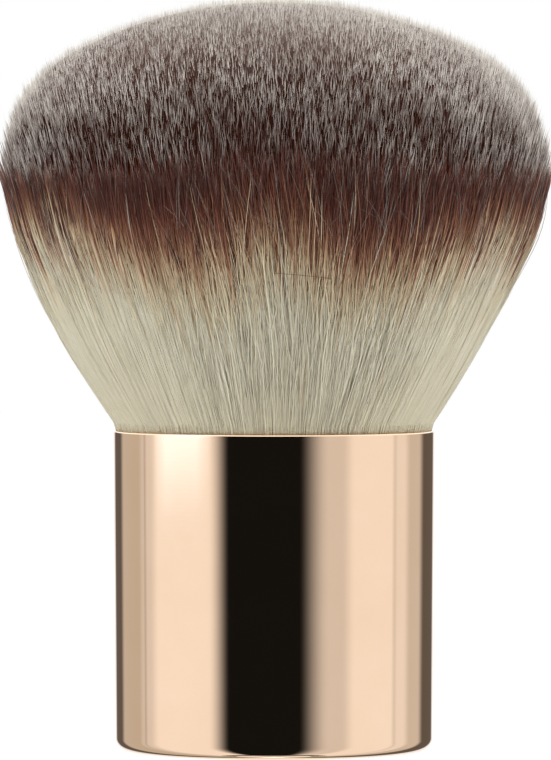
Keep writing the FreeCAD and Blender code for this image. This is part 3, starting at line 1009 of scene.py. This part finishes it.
def crownFibres():
    n, m = crown["count"], crown["points"]
    r = draws(seeds["crown"])
    k = np.arange(n) + 0.5
    scatter, scatterTurn = crown["scatter"]
    share = crown["outer"] * np.sqrt(k / n) + r.normal(0, scatter, n)
    share = np.clip(share, 0.002, crown["outer"])
    azimuth = k * math.pi * (3 - math.sqrt(5)) + r.normal(0, scatterTurn, n)
    longer = share - crown["ragged"] * np.abs(r.normal(size=n))
    either = np.clip(share + crown["ragged"] * r.normal(size=n), 0, 1)
    cutAs = np.where(share > crown["raggedFrom"], either, longer)
    tip = tipHeight(cutAs) + r.triangular(*crown["trim"], n) * mm
    tip = tip + crown["leftDrop"] * share * np.minimum(np.sin(azimuth), 0)
    # some fibres end lower and are painted dark to the tip as shade, fewer of them at the left and right
    underShare = np.interp(greyHeight(azimuth, tip), crown["underHeights"], crown["underShares"])
    under = r.uniform(size=n) < underShare * (1 - crown["underSides"] * sideways(azimuth))
    tip = tip - under * crown["underDrop"]
    t = np.linspace(0, 1, m)**crown["pointCurve"]
    z = tip[:, None] - crown["visible"] * (1 - t)
    radius = share[:, None] * (flareAt(z) + bulgeAt(azimuth[:, None], z))
    paths = spread(radius, azimuth[:, None], z)
    ends = paths[:, -1]
    pull = np.stack([waves(ends, crown["clumpLength"], seed) for seed in seeds["clumps"]], axis=1)
    pull = (crown["clump"] * pull + crown["sway"] * r.normal(size=(n, 3))) * [1, 1, crown["swayUp"]]
    out = np.stack([np.sin(azimuth), -np.cos(azimuth), 0 * azimuth], axis=1)
    leaving = np.maximum((pull * out).sum(axis=1, keepdims=True), 0)
    pull = pull - (1 - crown["outward"]) * leaving * out
    paths = paths + pull[:, None] * (t**crown["swayCurve"])[None, :, None]
    fromTip = tip[:, None] - z
    radii = tapered(crown["width"], crown["tipShare"], crown["taper"], fromTip)
    radii = radii * r.uniform(*crown["widths"], (n, 1))
    grey = greyness(azimuth, tip)[:, None]
    byPatch, byFibre = crown["patches"]
    patch = byPatch * waves(ends, crown["patchLength"], seeds["patch"]) + r.normal(0, byFibre, n)
    fromTip = fromTip / np.minimum(grey + crown["greyGain"] * fromTip / mm, 1)
    fromTip = fromTip + (1 - grey) * crown["greyLoss"] * mm
    fromTip = np.maximum(fromTip + patch[:, None] * mm * np.clip(fromTip / crown["patchFrom"], 0, 1), 0)
    # painted shade on the fibres that end lower
    fromTip = fromTip + under[:, None] * crown["underShadeRow"]
    greyTone, darkTone = crown["tones"]
    tone = np.where(under, darkTone, greyTone) + crown["toneSpread"] * r.normal(size=n)
    tone = np.clip(tone, 0, 1)
    return bundles("crownFibres", crown["perPiece"], r.permutation(n), paths, radii, tone, fromTip)


# loose fibres on top: fuzz and fringes along the outline, long pale ones, one lying across,
# and grey and tan ones over the dyed band, which are partly painted highlights along its dark fibres.
# Degrees round, millimetres up and off the surface.
strays = [
    # tight: share kept where the fibres lie tight; curve: power of the lift, 0 for a bow;
    # rows: place on the dye's scale, where dyed is 0; dyed 1 follows the tuft's own dye
    {
        "name": "edgeFuzz", "count": 700, "tight": 1, "width": 0.07 * mm,
        "turn": (0, 180), "foot": (5, 12), "tip": (14, 24),
        "drift": 2.0, "lift": 0.17, "curve": 2.0,
        "rows": (0.0, 0.0), "dyed": 1.0, "tone": 0.69,
    },
    {
        "name": "leftFringe", "count": 26, "tight": 1, "width": 0.07 * mm,
        "turn": (-90, 14), "foot": (8, 14), "tip": (19, 25),
        "drift": 2.0, "lift": 0.24, "curve": 0.0,
        "rows": (0.0, 0.0), "dyed": 1.0, "tone": 0.64,
    },
    {
        "name": "rightFringe", "count": 16, "tight": 1, "width": 0.07 * mm,
        "turn": (90, 14), "foot": (8, 14), "tip": (19, 25),
        "drift": 2.0, "lift": 0.20, "curve": 0.0,
        "rows": (0.0, 0.0), "dyed": 1.0, "tone": 0.64,
    },
    {
        "name": "longPale", "count": 150, "tight": 0.15, "width": 0.07 * mm,
        "turn": (0, 180), "foot": (0, 5), "tip": (17, 26),
        "drift": 4.0, "lift": 0.14, "curve": 0.6,
        "rows": (13, 20), "dyed": 0.0, "tone": 0.73,
    },
    {
        "name": "crossHair", "count": 1, "tight": 1, "width": 0.15 * mm,
        "turn": (13, 0), "foot": (15.1, 15.1), "tip": (15.7, 15.7),
        "drift": 12.0, "lift": 1.0, "curve": 0.0,
        "rows": (8.0, 8.0), "dyed": 0.0, "tone": 0.60,
    },
    # pale grey hairs, partly painted highlights along the dark fibres
    {
        "name": "greyHairsAndHighlights", "count": 240, "tight": 0.3, "width": 0.055 * mm,
        "turn": (0, 180), "foot": (16, 21), "tip": (21, 28),
        "drift": 3.5, "lift": 0.10, "curve": 0.6,
        "rows": (0.5, 1.3), "dyed": 0.0, "tone": 0.55,
    },
    # tan hairs, partly painted highlights along the dark fibres
    {
        "name": "tanHairsAndHighlights", "count": 350, "tight": 0.2, "width": 0.055 * mm,
        "turn": (0, 180), "foot": (9, 18), "tip": (20, 28),
        "drift": 3.5, "lift": 0.10, "curve": 0.6,
        "rows": (9.4, 11.2), "dyed": 0.0, "tone": 0.72,
    },
]
strayShape = {"points": 11, "driftCurve": 1.4, "tipShare": 0.3, "taper": 5.0 * mm, "toneSpread": 0.05}


def strayFibres(kind, seed):
    n = kind["count"]
    r = draws(seed)
    centre, half = kind["turn"]
    azimuth = np.radians(centre + half * r.uniform(-1, 1, n))
    tip, start = r.uniform(*kind["tip"], n) * mm, r.uniform(*kind["foot"], n) * mm
    t = np.linspace(0, 1, strayShape["points"])[None]
    z = start[:, None] + (tip - start)[:, None] * t
    drift = np.radians(kind["drift"]) * r.normal(size=n) + leanAt(azimuth)
    lift = kind["lift"] * np.abs(r.normal(size=n)) * mm
    turn = azimuth[:, None] + drift[:, None] * t**strayShape["driftCurve"]
    rise = t**kind["curve"] if kind["curve"] else np.sin(math.pi * t)
    radius = np.interp(z, heights, outline) + bulgeAt(turn, z) + lift[:, None] * rise
    radii = tapered(kind["width"], strayShape["tipShare"], strayShape["taper"], tip[:, None] - z)
    dyed = dyeAt(azimuth[:, None], z, flank["uneven"][0] * mm * r.normal(size=(n, 1)))
    plain = r.uniform(*kind["rows"], (n, 1)) * mm
    far = plain + kind["dyed"] * (dyed - plain)
    tone = np.clip(kind["tone"] + r.normal(0, strayShape["toneSpread"], n), 0, 1)
    keep = r.uniform(size=n) < kind["tight"] + (1 - kind["tight"]) * looseness(azimuth)
    paths = spread(radius, turn, z)
    return strandMesh(kind["name"], paths[keep], radii[keep], tone[keep], far[keep] + 0 * z[keep])


# the inside of the tuft, seen between the fibres
core = {
    "tight": 0.07 * mm,       # depth under tight fibres
    "ruffled": 0.30 * mm,     # the same under ruffled ones
    "crown": 0.95 * mm,       # and under the trimmed tips
    "crownFrom": (20 * mm, 31 * mm),
    "shadeHeights": (22 * mm, 28 * mm, 33 * mm, 41 * mm),
    "segments": 240,
    "rings": 90,
    "tones": (0.68, 0.14, 0.17, 0.64),   # at those heights; the low ones are painted shade in the depths between the fibres
    "crownShadeRows": (3.4 * mm, 1.7 * mm),   # rows of the dye's map that give the painted shade its hue, at the last two of those heights
    "streak": 0.12 * mm,
    "streaks": (0.04, 0.55),             # contrast of the streaks in cream and in dyed fibre
    "streakRows": (14 * mm, 8 * mm),     # rows of the dye's map with the first and the second contrast
    "noise": {"Scale": 0.12, "Detail": 4.0, "Roughness": 0.9},
    "roughness": 0.9,
}


def packedFibreAndShade():
    # packed fibre with painted shade in the unlit depths between the fibres, streaked along them
    mat, tree, shader = newPrincipled("packedFibreAndShade", Roughness=core["roughness"])
    shader.inputs["Specular IOR Level"].default_value = 0.0
    _, tone, row = readMap(tree, "dyeMap")
    roots, _, _ = readMap(tree, "rootMap")
    noise = node(tree, "ShaderNodeTexNoise", noise_dimensions="2D", **core["noise"])
    tree.links.new(roots, noise.inputs["Vector"])
    rows = [float(mapRow(far)) for far in core["streakRows"]]
    contrast = span(tree, row, *core["streaks"], *rows)
    streak = calc(tree, "MULTIPLY", span(tree, noise.outputs["Fac"], -1.0, 1.0, 0.3, 0.7), contrast)
    tone = calc(tree, "MULTIPLY", tone, calc(tree, "ADD", streak, 1.0))
    tree.links.new(dyedColour(tree, tone, row), shader.inputs["Base Color"])
    return mat


def bristleCore():
    # a closed form a little under the drawn fibres
    count, rings = core["segments"], core["rings"]
    along = np.linspace(0, 1, rings)
    length = np.concatenate([[0], np.cumsum(np.hypot(np.diff(outline), np.diff(heights)))])
    z = np.interp(along * length[-1], length, heights)
    edge = np.interp(z, heights, outline)
    rise, out = np.gradient(z), np.gradient(edge)
    size = np.hypot(rise, out)
    turn = np.linspace(0, math.tau, count, endpoint=False)[None]
    flankDepth = core["tight"] + (core["ruffled"] - core["tight"]) * looseness(turn)
    over = np.interp(z, core["crownFrom"], (0, 1))[:, None]
    # painted shade: from 22 mm up the core darkens into the crown, lighter again on top and, through the
    # painted light, at the left and right
    shaded = np.interp(z, core["shadeHeights"][:2], (0, 1))[:, None]
    level = z[:, None] + (greyHeight(turn, z[:, None]) - z[:, None]) * shaded
    shade = np.interp(level, core["shadeHeights"], core["tones"])
    depth = flankDepth + (core["crown"] - flankDepth) * over
    radius = edge[:, None] - depth * (rise / size)[:, None] + bulgeAt(turn, z[:, None])
    z = z[:, None] + depth * (out / size)[:, None]
    z[0] = -tuft["rootDepth"] / 2
    grid = spread(radius[:-1], turn, z[:-1])
    verts = [tuple(p) for p in grid.reshape(-1, 3)]
    verts += [(0, 0, rimZ + z[-1, 0]), (0, 0, rimZ + z[0, 0])]
    far = dyeAt(turn, z)
    far = far + (np.interp(z, core["shadeHeights"][2:], core["crownShadeRows"]) - far) * shaded
    root = headRadius / core["streak"] * radius / flareAt(z)
    maps = {"dyeMap": (shade, mapRow(far)), "rootMap": (root * np.sin(turn), root * np.cos(turn))}
    faces = ringFaces(rings - 1, count)
    last = (rings - 2) * count
    for k in range(count):
        j = (k + 1) % count
        faces.append((last + k, last + j, len(verts) - 2))
        faces.append((j, k, len(verts) - 1))
    mesh = bpy.data.meshes.new("bristleCore")
    mesh.from_pydata(verts, [], faces)
    corners = np.zeros(len(mesh.loops), dtype=np.int32)
    mesh.loops.foreach_get("vertex_index", corners)
    for name, pair in maps.items():
        across, up = (np.append(part[:-1].ravel(), (part[-1].mean(), part[0].mean())) for part in pair)
        layer = mesh.uv_layers.new(name=name)
        places = np.stack([across[corners], up[corners]], axis=1)
        layer.uv.foreach_set("vector", places.astype(np.float32).ravel())
    mesh.shade_smooth()
    return addObject("bristleCore", mesh)


bristlePieces = crownFibres() + flankFibres() + [bristleCore()]
bristlePieces += [strayFibres(kind, seeds["strays"] + i) for i, kind in enumerate(strays)]
finishes = {"bristleCore": packedFibreAndShade()}
fibre = dyedFibre()
for piece in bristlePieces:
    wear(piece, finishes.get(piece.name, fibre))
    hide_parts("bristle_base", "bristle_head")
    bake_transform(piece)
    print(piece.name, len(piece.data.polygons), "faces")
